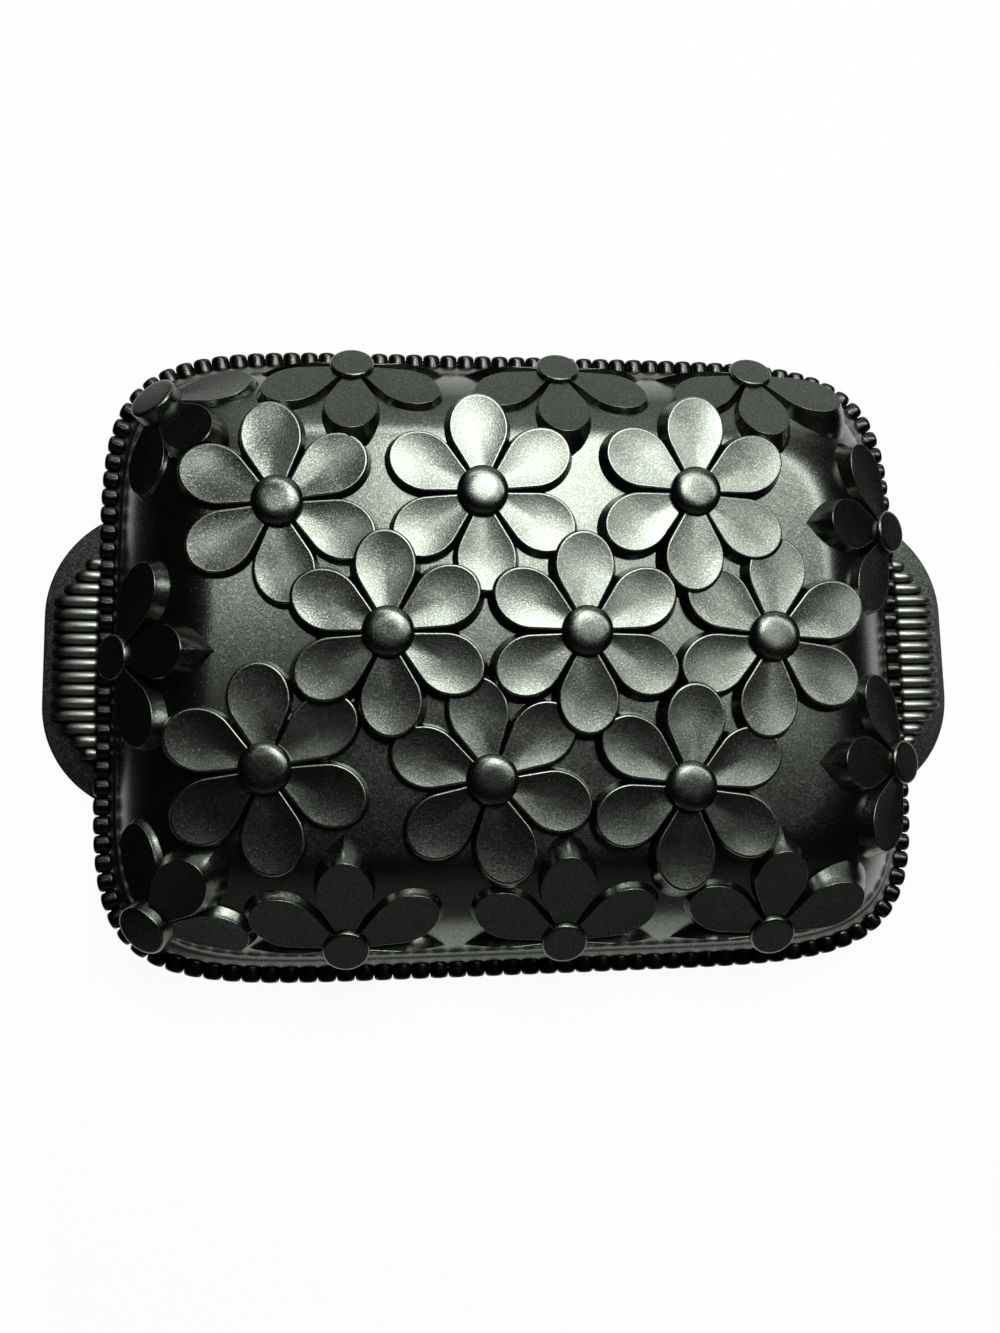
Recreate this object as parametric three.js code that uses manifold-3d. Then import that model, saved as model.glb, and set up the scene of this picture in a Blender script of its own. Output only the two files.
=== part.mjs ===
// Relief cake pan of cast aluminium, lying top up on its rim as it is stored and turned out.
// Millimetres, +Z up, +X along the pan. The origin is in the rim's plane, under the middle of the pan.
import * as THREE from 'three';
import { mergeVertices } from 'three/addons/utils/BufferGeometryUtils.js';
import Module from 'manifold-3d';

const wasm = await Module();
wasm.setup();

// Pan body: a flat top with broad round shoulders, on a foot that is a squared oval
const BODY_LENGTH = 286;
const BODY_WIDTH = 217;
const BODY_SQUARENESS = 6.5;
const BODY_RISE = 39.5;
const SHOULDER_WIDTH = 40;
const SHOULDER_FULLNESS = 1.6;
const WALL = 4;
const FLANGE_WIDTH = 4.5;
const FLANGE_THICKNESS = 3.5;

// Row of half-round beads that stands on the flange
const BEAD_COUNT = 146;
const BEAD_LENGTH = 7;
const BEAD_HEIGHT = 5;
const BEAD_DIP = 2;
const BEAD_SLOPE = 1;

// Handles: a straight outer edge between two round shoulders
const HANDLE_REACH = 22.5;
const HANDLE_STRAIGHT = 32;
const HANDLE_SHOULDER = 40;
const HANDLE_THICKNESS = 3.5;

// Grip pads on the handles
const RIB_COUNT = 16;
const RIB_PITCH = 4.56;
const RIB_RADIUS = 2.35;
const PAD_THICKNESS = 3.2;
const PAD_MARGIN = 5;
const PAD_STRAIGHT = 41;
const PAD_TAPER = 0.8;

// Flowers: the same daisy everywhere, slimmer on the shoulders
const PETAL_COUNT = 6;
const PETAL_REACH = 34.7;
const PETAL_WIDEST = 22.8;
const PETAL_WIDTH = 20.5;
const SHOULDER_PETAL_WIDTH = 18;
const PETAL_ROOT = 3;
const PETAL_DEPTH = 18;
const PETAL_HEIGHT = 7;
const LAYER_STEP = 0.4;
const PRINT_INSET = 3;
const PRINT_DEPTH = 1.5;
const BOSS_DIAMETER = 17;
const BOSS_RISE = 4.6;
const BUTTON_DIAMETER = 15.4;
const BUTTON_RISE = 1.6;

// Flowers on top: place in flower spans, turn in degrees and order, the lowest order lying over the others.
// A lifted petal lies over all of them; petal 0 points to the far side and 3 to the near side.
const TOP_FLOWERS = [
  { row: 'near', x: 0.764, y: -0.713, turn: -6, order: 5, lifted: 0 },
  { row: 'near', x: -0.187, y: -0.663, turn: 10.5, order: 8 },
  { row: 'near', x: -1.239, y: -0.591, turn: 6, order: 9 },
  { row: 'middle', x: 0.281, y: 0.036, turn: 0, order: 2 },
  { row: 'middle', x: -0.67, y: 0.036, turn: 2, order: 1 },
  { row: 'middle', x: 1.21, y: 0.007, turn: -6.5, order: 4 },
  { row: 'far', x: 0.843, y: 0.728, turn: -3, order: 3, lifted: 3 },
  { row: 'far', x: -0.209, y: 0.728, turn: 2.5, order: 6 },
  { row: 'far', x: -1.189, y: 0.67, turn: 6, order: 7 },
];

// Flowers round the shoulders: places as shares of a side's half length
const FAR_WALL_PLACES = [-0.41, 0.105, 0.609];
const NEAR_WALL_PLACES = [-0.428, 0.084, 0.594];
const LEFT_END_PLACES = [-0.023];
const RIGHT_END_PLACES = [0.384, -0.394];

// Planes of the shoulder flowers: slope, how far their middle lies below the crown and in from the foot
const WALL_FLOWER_SLOPE = 32;
const WALL_FLOWER_DROP = 12.6;
const WALL_FLOWER_INSET = 7.4;
const RIGHT_END_INSET = 6.7;
const LEFT_END_SLOPE = 40;
const LEFT_END_DROP = 15.5;
const LEFT_END_INSET = 4;
const PETAL_SETBACK = 6;

// Corner flowers: the same, and how far the petals along the two sides turn outwards and climb
const CORNER_SLOPE = 33;
const CORNER_SIDE_SLOPE = 38;
const CORNER_BUTTON_SLOPE = 48;
const CORNER_DROP = 14;
const CORNER_END_INSET = 16;
const FAR_CORNER_INSET = 21;
const NEAR_CORNER_INSET = 16;
const FAR_CORNER_SPLAY = 13;
const NEAR_CORNER_SPLAY = 7;
const CORNER_END_SPLAY = 5.5;
const CORNER_CLIMB = 4;

// Clearance between neighbouring solids, and the fineness of the rounds
const GAP = 0.3;
const OUTLINE_STEPS = 48;
const SHOULDER_RINGS = 7;
const PETAL_STEPS = 8;
const PRINT_STEPS = 5;
const BOSS_STEPS = 12;
const BOSS_RINGS = 2;
const RIB_STEPS = 3;
const HANDLE_STEPS = 10;
const ARC_SAMPLES = 2000;

const HALF_LENGTH = BODY_LENGTH / 2;
const HALF_WIDTH = BODY_WIDTH / 2;
const CROWN_HEIGHT = FLANGE_THICKNESS + BODY_RISE;
const FLOWER_LEVEL = CROWN_HEIGHT + PETAL_HEIGHT;
const FLOWER_SPAN = 2 * PETAL_REACH;
const OVER_BEADS = FLANGE_THICKNESS + GAP + BEAD_HEIGHT + GAP;
const UP = new THREE.Vector3(0, 0, 1);

// Squared oval in plan, walked at even steps by getSpacedPoints
class SquaredOval extends THREE.Curve {
  constructor(grow) {
    super();
    this.halfLength = HALF_LENGTH + grow;
    this.halfWidth = HALF_WIDTH + grow;
    this.arcLengthDivisions = ARC_SAMPLES;
  }

  getPoint(t, target = new THREE.Vector2()) {
    const angle = 2 * Math.PI * t;
    const x = Math.cos(angle);
    const y = Math.sin(angle);
    return target.set(x, y).divideScalar(ovalShare(x / this.halfLength, y / this.halfWidth));
  }

  loop(count) {
    return this.getSpacedPoints(count).slice(0, count);
  }
}

// How far out a point lies, from 0 in the middle to 1 on the squared oval
function ovalShare(x, y) {
  return (Math.abs(x) ** BODY_SQUARENESS + Math.abs(y) ** BODY_SQUARENESS) ** (1 / BODY_SQUARENESS);
}

// A closed body from stacked rings of points, each running anticlockwise seen from the last ring's side
function stackedBody(rings) {
  const count = rings[0].length;
  const points = rings.flat();
  const faces = [];
  for (let ring = 0; ring < rings.length - 1; ring += 1) {
    for (let i = 0; i < count; i += 1) {
      const a = ring * count + i;
      const b = ring * count + (i + 1) % count;
      faces.push(a, b, b + count, a, b + count, a + count);
    }
  }
  const last = (rings.length - 1) * count;
  for (let i = 1; i < count - 1; i += 1) {
    faces.push(0, i + 1, i, last, last + i, last + i + 1);
  }
  const geometry = new THREE.BufferGeometry().setFromPoints(points);
  geometry.setIndex(faces);
  return geometry;
}

// three.js geometry to a solid that can be cut, and back
function solid(geometry) {
  const bare = geometry.clone();
  bare.deleteAttribute('normal');
  bare.deleteAttribute('uv');
  const merged = mergeVertices(bare);
  const corners = merged.index.array;
  const triangles = [];
  for (let i = 0; i < corners.length; i += 3) {
    const [a, b, c] = [corners[i], corners[i + 1], corners[i + 2]];
    if (a !== b && b !== c && c !== a) triangles.push(a, b, c);
  }
  const vertProperties = new Float32Array(merged.attributes.position.array);
  const triVerts = new Uint32Array(triangles);
  return new wasm.Manifold(new wasm.Mesh({ numProp: 3, vertProperties, triVerts }));
}

function geometryOf(body) {
  const mesh = body.getMesh();
  const geometry = new THREE.BufferGeometry();
  geometry.setAttribute('position', new THREE.BufferAttribute(mesh.vertProperties, 3));
  geometry.setIndex(new THREE.BufferAttribute(mesh.triVerts, 1));
  geometry.computeVertexNormals();
  return geometry;
}

// The pan's body as a full solid, from a level below the flange up over the shoulders to the flat top
function panBody(grow, bottom) {
  const ring = (inset, z) => {
    return new SquaredOval(grow - inset).loop(OUTLINE_STEPS).map((p) => new THREE.Vector3(p.x, p.y, z));
  };
  const rings = [ring(0, bottom)];
  for (let i = 0; i <= SHOULDER_RINGS; i += 1) {
    const share = Math.cos((Math.PI / 2) * (i / SHOULDER_RINGS));
    const level = (1 - share ** SHOULDER_FULLNESS) ** (1 / SHOULDER_FULLNESS);
    rings.push(ring((SHOULDER_WIDTH + grow) * (1 - share), FLANGE_THICKNESS + (BODY_RISE + grow) * level));
  }
  return solid(stackedBody(rings));
}

// A straight-sided body over the foot's outline
function ovalBody(grow, bottom, top) {
  const edge = new SquaredOval(grow).loop(OUTLINE_STEPS);
  const ring = (z) => edge.map((p) => new THREE.Vector3(p.x, p.y, z));
  return solid(stackedBody([ring(bottom), ring(top)]));
}

// Beads: one unbroken band whose top and outer edge rise at each bead and dip between them
function beadedRim() {
  const stations = BEAD_COUNT * 2;
  const inner = new SquaredOval(GAP).loop(stations);
  const outer = new SquaredOval(GAP + BEAD_LENGTH).loop(stations);
  const bottom = FLANGE_THICKNESS + GAP;
  const rings = inner.map((start, i) => {
    const dip = i % 2 ? BEAD_DIP : 0;
    const out = outer[i].clone().sub(start).normalize();
    const at = (reach, rise) => {
      const p = start.clone().addScaledVector(out, reach);
      return new THREE.Vector3(p.x, p.y, bottom + rise);
    };
    return [
      at(0, 0),
      at(0, BEAD_HEIGHT - dip),
      at(BEAD_LENGTH - dip - BEAD_SLOPE, BEAD_HEIGHT - dip),
      at(BEAD_LENGTH - dip, 0),
    ];
  });
  const sides = rings[0].length;
  const faces = [];
  for (let i = 0; i < stations; i += 1) {
    const next = ((i + 1) % stations) * sides;
    for (let k = 0; k < sides; k += 1) {
      const a = i * sides + k;
      const b = i * sides + (k + 1) % sides;
      const c = next + (k + 1) % sides;
      const d = next + k;
      faces.push(a, b, c, a, c, d);
    }
  }
  const geometry = new THREE.BufferGeometry().setFromPoints(rings.flat());
  geometry.setIndex(faces);
  return solid(geometry);
}

// Right-hand handle tab; its inner edge follows the flange
function handleTab() {
  const tip = HALF_LENGTH + FLANGE_WIDTH + HANDLE_REACH;
  const centre = tip - HANDLE_SHOULDER;
  const half = HANDLE_STRAIGHT / 2;
  const shape = new THREE.Shape();
  shape.moveTo(centre, -half - HANDLE_SHOULDER);
  shape.absarc(centre, -half, HANDLE_SHOULDER, -Math.PI / 2, 0, false);
  shape.absarc(centre, half, HANDLE_SHOULDER, 0, Math.PI / 2, false);
  shape.closePath();
  const plate = new THREE.ExtrudeGeometry(shape, {
    depth: HANDLE_THICKNESS,
    bevelEnabled: false,
    curveSegments: HANDLE_STEPS,
  });
  return solid(plate).subtract(ovalBody(FLANGE_WIDTH + GAP, -HANDLE_THICKNESS, 2 * HANDLE_THICKNESS));
}

// Right-hand grip pad: a low slab and one half-round rib for each step of its rounded outline
function gripPad() {
  const start = HALF_LENGTH + BEAD_LENGTH + 2 * GAP;
  const end = HALF_LENGTH + FLANGE_WIDTH + HANDLE_REACH - PAD_MARGIN;
  const bottom = HANDLE_THICKNESS + GAP;
  let pad = null;
  for (let rib = 0; rib < RIB_COUNT; rib += 1) {
    const y = (rib - (RIB_COUNT - 1) / 2) * RIB_PITCH;
    const length = end - start - Math.max(0, Math.abs(y) - PAD_STRAIGHT / 2) * PAD_TAPER;
    const section = new THREE.Shape();
    section.moveTo(-RIB_RADIUS, 0);
    section.lineTo(RIB_RADIUS, 0);
    section.lineTo(RIB_RADIUS, PAD_THICKNESS);
    section.absarc(0, PAD_THICKNESS, RIB_RADIUS, 0, Math.PI, false);
    section.closePath();
    const bar = new THREE.ExtrudeGeometry(section, {
      depth: length,
      bevelEnabled: false,
      curveSegments: RIB_STEPS,
    });
    bar.rotateX(Math.PI / 2).rotateZ(Math.PI / 2).translate(start, y, bottom);
    pad = pad ? pad.add(solid(bar)) : solid(bar);
  }
  return pad;
}

// Petal outline along +X: a round end drawn out to a narrow root
function petalOutline(width, grow, steps) {
  const along = PETAL_REACH - PETAL_WIDEST + grow;
  const across = width / 2 + grow;
  const turn = Math.acos(-along / PETAL_WIDEST);
  const points = [];
  for (let i = 0; i <= steps; i += 1) {
    const t = turn * ((2 * i) / steps - 1);
    points.push(new THREE.Vector2(PETAL_WIDEST + along * Math.cos(t), across * Math.sin(t)));
  }
  const flank = points[steps].y / points[steps].x;
  points.push(new THREE.Vector2(PETAL_ROOT, PETAL_ROOT * flank));
  points.push(new THREE.Vector2(PETAL_ROOT, -PETAL_ROOT * flank));
  return points;
}

// A body between an outline on the petal's face, lifted off it or not, and the same outline deeper in the pan
function platedBody({ centre, along, out }, outline, lift) {
  const across = new THREE.Vector3().crossVectors(out, along);
  const ring = (rise) => outline.map((p) => {
    return centre.clone().addScaledVector(along, p.x).addScaledVector(across, p.y).addScaledVector(out, rise);
  });
  return solid(stackedBody([ring(-PETAL_DEPTH), ring(lift)]));
}

function petal(leaf, grow = 0, lift = 0) {
  return platedBody(leaf, petalOutline(leaf.width, grow, PETAL_STEPS), lift);
}

// The shallow print that a top petal leaves inside the pan
function petalPrint({ centre, along, out, width }) {
  const roof = centre.clone().setZ(CROWN_HEIGHT - WALL + PRINT_DEPTH);
  return platedBody({ centre: roof, along, out }, petalOutline(width, -PRINT_INSET, PRINT_STEPS), 0);
}

// Round boss in the middle of a top flower, or the flat button of a shoulder flower
function boss({ centre, out, onTop }, grow = 0) {
  const radius = (onTop ? BOSS_DIAMETER : BUTTON_DIAMETER) / 2 + grow;
  const rise = (onTop ? BOSS_RISE : BUTTON_RISE) + grow;
  const profile = [new THREE.Vector2(0, -PETAL_DEPTH), new THREE.Vector2(radius, -PETAL_DEPTH)];
  if (onTop) {
    for (let ring = 0; ring < BOSS_RINGS; ring += 1) {
      const t = (Math.PI / 2) * (ring / BOSS_RINGS);
      profile.push(new THREE.Vector2(radius * Math.cos(t), rise * Math.sin(t)));
    }
  } else {
    profile.push(new THREE.Vector2(radius, rise));
  }
  profile.push(new THREE.Vector2(0, rise));
  const round = new THREE.LatheGeometry(profile, BOSS_STEPS).rotateX(Math.PI / 2);
  round.applyQuaternion(new THREE.Quaternion().setFromUnitVectors(UP, out));
  return solid(round.translate(centre.x, centre.y, centre.z));
}

const flowers = [];
const radians = THREE.MathUtils.degToRad;
const levelDirection = (angle) => new THREE.Vector3(Math.cos(angle), Math.sin(angle), 0);

function addTopFlowers() {
  const counts = {};
  for (const { row, x, y, turn, order, lifted } of TOP_FLOWERS) {
    counts[row] = (counts[row] ?? 0) + 1;
    const centreAt = (rank) => {
      return new THREE.Vector3(x * FLOWER_SPAN, y * FLOWER_SPAN, FLOWER_LEVEL - LAYER_STEP * rank);
    };
    const petals = Array.from({ length: PETAL_COUNT }, (_, k) => {
      const rank = k === lifted ? 0 : order;
      const along = levelDirection(Math.PI / 2 + radians(turn) + (2 * Math.PI * k) / PETAL_COUNT);
      return { centre: centreAt(rank), along, out: UP, width: PETAL_WIDTH, rank };
    });
    const name = `flower_${row}_row_${counts[row]}`;
    flowers.push({ name, centre: centreAt(order), out: UP, onTop: true, petals });
  }
}

// Straight out of a plane that leans to one side by a slope
function leaningOut(facing, slope) {
  return levelDirection(facing).multiplyScalar(Math.sin(radians(slope))).setZ(Math.cos(radians(slope)));
}

// A shoulder petal turned from the uphill direction: the middle one lies over the top flowers, the others under
function shoulderPetal(centre, facing, slope, turn) {
  const out = leaningOut(facing, slope);
  const uphill = levelDirection(facing).multiplyScalar(-out.z).setZ(Math.hypot(out.x, out.y));
  const along = uphill.applyAxisAngle(out, turn);
  const rank = turn === 0 ? -1 : TOP_FLOWERS.length + flowers.length;
  return { centre, along, out, width: SHOULDER_PETAL_WIDTH, rank };
}

function addShoulderFlower(name, x, y, drop, facing, slope) {
  const centre = new THREE.Vector3(x, y, CROWN_HEIGHT - drop);
  const petals = [0, 1, -1, 2, -2].map((k) => {
    return shoulderPetal(centre, facing, slope, (2 * Math.PI * k) / PETAL_COUNT);
  });
  flowers.push({ name, centre, out: leaningOut(facing, slope), petals });
}

// A corner flower is bent round the corner: its outer petals run along the two sides and climb a little
function addCornerFlower(name, side, inset, wallSplay) {
  const centre = new THREE.Vector3(
    CORNER_END_INSET - HALF_LENGTH,
    side * (HALF_WIDTH - inset),
    CROWN_HEIGHT - CORNER_DROP,
  );
  const rank = TOP_FLOWERS.length + flowers.length;
  const climb = radians(CORNER_CLIMB);
  const sidePetal = (facing, heading) => {
    const along = levelDirection(heading).multiplyScalar(Math.cos(climb)).setZ(Math.sin(climb));
    const out = leaningOut(facing, CORNER_SIDE_SLOPE);
    out.addScaledVector(along, -out.dot(along)).normalize();
    return { centre, along, out, width: SHOULDER_PETAL_WIDTH, rank };
  };
  const diagonal = side * radians(135);
  const petals = [
    { ...shoulderPetal(centre, diagonal, CORNER_SLOPE, 0), rank },
    sidePetal(side * radians(90), side * radians(wallSplay)),
    sidePetal(radians(180), -side * radians(90 + CORNER_END_SPLAY)),
  ];
  flowers.push({ name, centre, out: leaningOut(diagonal, CORNER_BUTTON_SLOPE), petals });
}

function addShoulderFlowers() {
  const [left, right, far, near] = [Math.PI, 0, Math.PI / 2, -Math.PI / 2];
  const side = HALF_WIDTH - WALL_FLOWER_INSET;
  const addAlongWall = (name, share, y, facing) => {
    addShoulderFlower(name, share * HALF_LENGTH, y, WALL_FLOWER_DROP, facing, WALL_FLOWER_SLOPE);
  };
  const addAlongEnd = (name, x, share, drop, facing, slope) => {
    addShoulderFlower(name, x, share * HALF_WIDTH, drop, facing, slope);
  };
  FAR_WALL_PLACES.forEach((share, i) => addAlongWall(`flower_far_wall_${i + 1}`, share, side, far));
  NEAR_WALL_PLACES.forEach((share, i) => addAlongWall(`flower_near_wall_${i + 1}`, share, -side, near));
  LEFT_END_PLACES.forEach((share, i) => {
    const x = LEFT_END_INSET - HALF_LENGTH;
    addAlongEnd(`flower_left_end_${i + 1}`, x, share, LEFT_END_DROP, left, LEFT_END_SLOPE);
  });
  RIGHT_END_PLACES.forEach((share, i) => {
    const x = HALF_LENGTH - RIGHT_END_INSET;
    addAlongEnd(`flower_right_end_${i + 1}`, x, share, WALL_FLOWER_DROP, right, WALL_FLOWER_SLOPE);
  });
  addCornerFlower('flower_far_corner', 1, FAR_CORNER_INSET, FAR_CORNER_SPLAY);
  addCornerFlower('flower_near_corner', -1, NEAR_CORNER_INSET, NEAR_CORNER_SPLAY);
}

addTopFlowers();
addShoulderFlowers();

function nearEachOther(a, b) {
  return Math.hypot(a.centre.x - b.centre.x, a.centre.y - b.centre.y) < 2 * PETAL_REACH + BOSS_DIAMETER;
}

const bodyWithGap = panBody(GAP, -PETAL_DEPTH);
const petalRoom = ovalBody(-PETAL_SETBACK, OVER_BEADS, 2 * FLOWER_LEVEL);
const bossRoom = ovalBody(BEAD_LENGTH, OVER_BEADS, 2 * FLOWER_LEVEL);

// A flower: its boss and its petals, less whatever lies over them and the pan under them
function flowerBody(flower) {
  const neighbours = flowers.filter((other) => other !== flower && nearEachOther(flower, other));
  let body = boss(flower).intersect(bossRoom);
  for (const leaf of flower.petals) {
    let plate = petal(leaf).intersect(petalRoom);
    for (const other of neighbours) {
      plate = plate.subtract(boss(other, GAP));
      for (const cover of other.petals) {
        if (cover.rank < leaf.rank) plate = plate.subtract(petal(cover, GAP, PETAL_DEPTH));
      }
    }
    body = body.add(plate);
  }
  return body.subtract(bodyWithGap);
}

const COAT = { color: 0x1c1e1c, roughness: 0.42, metalness: 0.55 };

const pan = new THREE.Group();

function addNode(name, body) {
  const mesh = new THREE.Mesh(geometryOf(body), new THREE.MeshStandardMaterial(COAT));
  mesh.name = name;
  pan.add(mesh);
  return mesh;
}

let hollow = panBody(-WALL, -FLANGE_THICKNESS);
const printRoom = panBody(PRINT_DEPTH - WALL, -FLANGE_THICKNESS);
for (const flower of flowers) {
  addNode(flower.name, flowerBody(flower));
  if (flower.onTop) {
    for (const leaf of flower.petals) hollow = hollow.add(petalPrint(leaf).intersect(printRoom));
  }
}
const shell = panBody(0, 0).add(ovalBody(FLANGE_WIDTH, 0, FLANGE_THICKNESS)).subtract(hollow);
addNode('pan_shell', shell);
addNode('beaded_rim', beadedRim());
for (const side of ['right', 'left']) {
  const turn = side === 'left' ? Math.PI : 0;
  addNode(`handle_${side}`, handleTab()).rotation.z = turn;
  addNode(`grip_ribs_${side}`, gripPad()).rotation.z = turn;
}

export default pan;
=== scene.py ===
# %% [markdown]
# # A daisy cake pan, lying upside down
# The pan is one casting in near-black non-stick coat: a rectangular body with a flat top and broad
# round shoulders, twenty overlapping daisies in relief, a row of beads round the rim and a ribbed
# grip at each end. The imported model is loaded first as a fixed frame, and every piece made here
# stands for one of its nodes, in the same place, with the rounded edges and the dished petals that
# the plain solids lack.

# %% Load the frame
import math

import bmesh
import bpy
import numpy as np
from mathutils import Matrix, Vector


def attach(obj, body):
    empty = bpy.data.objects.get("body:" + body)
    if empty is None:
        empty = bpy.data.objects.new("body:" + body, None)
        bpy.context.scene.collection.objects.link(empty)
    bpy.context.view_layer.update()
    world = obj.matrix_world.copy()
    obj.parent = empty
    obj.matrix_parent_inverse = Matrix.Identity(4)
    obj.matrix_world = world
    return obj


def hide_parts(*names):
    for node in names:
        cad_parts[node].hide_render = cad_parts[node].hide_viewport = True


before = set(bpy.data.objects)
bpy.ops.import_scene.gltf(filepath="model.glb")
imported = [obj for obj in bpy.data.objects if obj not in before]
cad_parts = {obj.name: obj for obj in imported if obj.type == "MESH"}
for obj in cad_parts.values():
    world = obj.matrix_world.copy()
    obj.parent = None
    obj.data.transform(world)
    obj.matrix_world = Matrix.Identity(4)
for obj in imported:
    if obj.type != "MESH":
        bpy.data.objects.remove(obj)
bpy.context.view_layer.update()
print("nodes in the frame:", len(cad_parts))

# %% [markdown]
# ## Sizes
# A casting is drawn from a short list of sizes. Most are the model's own, written in millimetres and
# turned into metres, so that the outline of the foot, the round of the shoulder and the shape of one
# petal can be worked out from them wherever they are needed. EASE softens the line where the shoulder
# leaves the flat top, and the corner buttons are a little larger than the others.

# %% Sizes of the pan and its daisies
mm = 0.001
HALF_LENGTH = 143 * mm
HALF_WIDTH = 108.5 * mm
SQUARENESS = 6.5
RISE = 39.5 * mm
SHOULDER = 40 * mm
FULLNESS = 1.6
EASE = 0.08
WALL = 4 * mm
FLANGE_WIDTH = 4.5 * mm
FLANGE = 3.5 * mm
CROWN = FLANGE + RISE

PETAL_REACH = 34.7 * mm
PETAL_WIDEST = 22.8 * mm
PETAL_WIDTH = {"spoon": 20.5 * mm, "plate": 18 * mm, "gable": 18 * mm}
PETAL_ROOT = 3 * mm
PETAL_LEVEL = CROWN + 7 * mm
LAYER_STEP = 0.4 * mm
DOME_RADIUS = 8.7 * mm
BUTTON_RADIUS = 7.8 * mm
CORNER_BUTTON_RADIUS = 9 * mm
print("crown at", round(CROWN / mm, 1), "mm, petals at", round(PETAL_LEVEL / mm, 1), "mm")

# %% [markdown]
# ## Outline of the foot
# Seen from above the foot is neither a rectangle nor an oval but a squared oval, whose sides bulge
# a little and whose corners are round. It could be drawn with a bezier curve, but the formula of a
# squared oval gives the same line with one number for its squareness, and lets any point be asked
# how far inside the outline it lies. That tells how high the pan stands there.

# %% Squared oval, and the height of the pan over any point
def oval_share(x, y, grow):
    across = np.abs(x / (HALF_LENGTH + grow)) ** SQUARENESS
    along = np.abs(y / (HALF_WIDTH + grow)) ** SQUARENESS
    return (across + along) ** (1 / SQUARENESS)


def oval(grow, count):
    """Points at even steps along the foot's outline, moved outwards by grow."""
    angle = np.linspace(0, 2 * math.pi, 4001)
    line = np.stack((np.cos(angle), np.sin(angle)), 1)
    line = line / oval_share(line[:, 0], line[:, 1], grow)[:, None]
    steps = np.linalg.norm(np.diff(line, axis=0), axis=1)
    walked = np.concatenate(([0], np.cumsum(steps)))
    even = np.linspace(0, walked[-1], count, endpoint=False)
    return np.stack([np.interp(even, walked, line[:, axis]) for axis in (0, 1)], 1)


def inset_of(x, y):
    """How far inside the foot's outline points lie, found by halving."""
    low = np.full(np.shape(x), -40 * mm)
    high = np.full(np.shape(x), HALF_WIDTH - 0.1 * mm)
    for _ in range(26):
        middle = (low + high) / 2
        inside = oval_share(x, y, -middle) < 1
        low = np.where(inside, middle, low)
        high = np.where(inside, high, middle)
    return low


def shoulder_level(share):
    """Height of the shoulder, from 1 where it leaves the flat top (share 0) to 0 at the foot (share 1)."""
    eased = (np.hypot(share, EASE) - EASE) / (math.hypot(1, EASE) - EASE)
    return (1 - eased ** FULLNESS) ** (1 / FULLNESS)


def body_height(x, y):
    return FLANGE + RISE * shoulder_level(np.clip(1 - inset_of(x, y) / SHOULDER, 0, 1))


halfway = float(body_height(np.array(0), np.array(HALF_WIDTH - SHOULDER / 2)))
print("height halfway over the shoulder:", round(halfway / mm, 1), "mm")

# %% [markdown]
# ## Bodies from rings
# Nearly every feature of a casting is a stack of closed rings: the body is a stack of ovals, a petal
# a stack of petal outlines, a boss a stack of circles. One helper stretches a skin of faces over such
# a stack and closes its two ends, so a body never has a hole. A second one turns bodies into a
# Blender object with its faces pointing outwards and its round parts shaded smooth.

# %% Skin over rings, and objects made of such skins
SAME_POINT = 0.002 * mm
pieces = {}


def skin(rings):
    """A closed body over rings of equally many points, as its points and faces."""
    rings = [np.asarray(ring) for ring in rings]
    count = len(rings[0])
    points = np.concatenate(rings + [rings[0].mean(0)[None], rings[-1].mean(0)[None]])
    start = count * len(rings)
    last = start - count
    faces = []
    for i in range(count):
        j = (i + 1) % count
        faces.append((start, j, i))
        faces.append((start + 1, last + i, last + j))
        for row in range(0, last, count):
            faces.append((row + i, row + j, row + count + j, row + count + i))
    return points, faces


def mesh_of(name, bodies, wear=None):
    """One mesh from several bodies, its faces turned outwards, with the painted highlight at each point."""
    points = np.concatenate([body[0] for body in bodies])
    faces = []
    offset = 0
    for body_points, body_faces in bodies:
        faces += [tuple(offset + corner for corner in face) for face in body_faces]
        offset += len(body_points)
    mesh = bpy.data.meshes.new(name)
    mesh.from_pydata(points.tolist(), [], faces)
    if wear is not None:
        mesh.attributes.new("wear", "FLOAT", "POINT").data.foreach_set("value", np.concatenate(wear))
    work = bmesh.new()
    work.from_mesh(mesh)
    bmesh.ops.remove_doubles(work, verts=work.verts, dist=SAME_POINT)
    bmesh.ops.recalc_face_normals(work, faces=work.faces)
    work.to_mesh(mesh)
    work.free()
    return mesh


def add_piece(name, mesh, node, sharp=50):
    """Puts a finished mesh into the scene and notes which node it stands for."""
    mesh.shade_smooth()
    mesh.set_sharp_from_angle(angle=math.radians(sharp))
    piece = bpy.data.objects.new(name, mesh)
    bpy.context.scene.collection.objects.link(piece)
    pieces[node] = piece
    mesh.calc_loop_triangles()
    print(name, "has", len(mesh.loop_triangles), "triangles")


print("helpers ready: skin, mesh_of and add_piece")

# %% [markdown]
# ## Where the daisies lie
# Nine daisies lie flat on top, each turned a little differently. Where two meet, one was pressed
# over the other: the order says which, and a lifted petal lies over all of them. Nine more lean on
# the shoulders, and two are bent round the left-hand corners. Each petal gets its own small frame:
# the centre of its flower, the way it points, and the direction straight out of its face. The flare
# says by how many degrees its sides lean outwards.

# %% Places, turns and order of the daisies
PETAL_COUNT = 6
PETAL_TURN = 360 / PETAL_COUNT
SIDE_PETALS = (0, 1, -1, 2, -2)
OVER_ALL = -1
UNDER_ALL = 20
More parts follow.
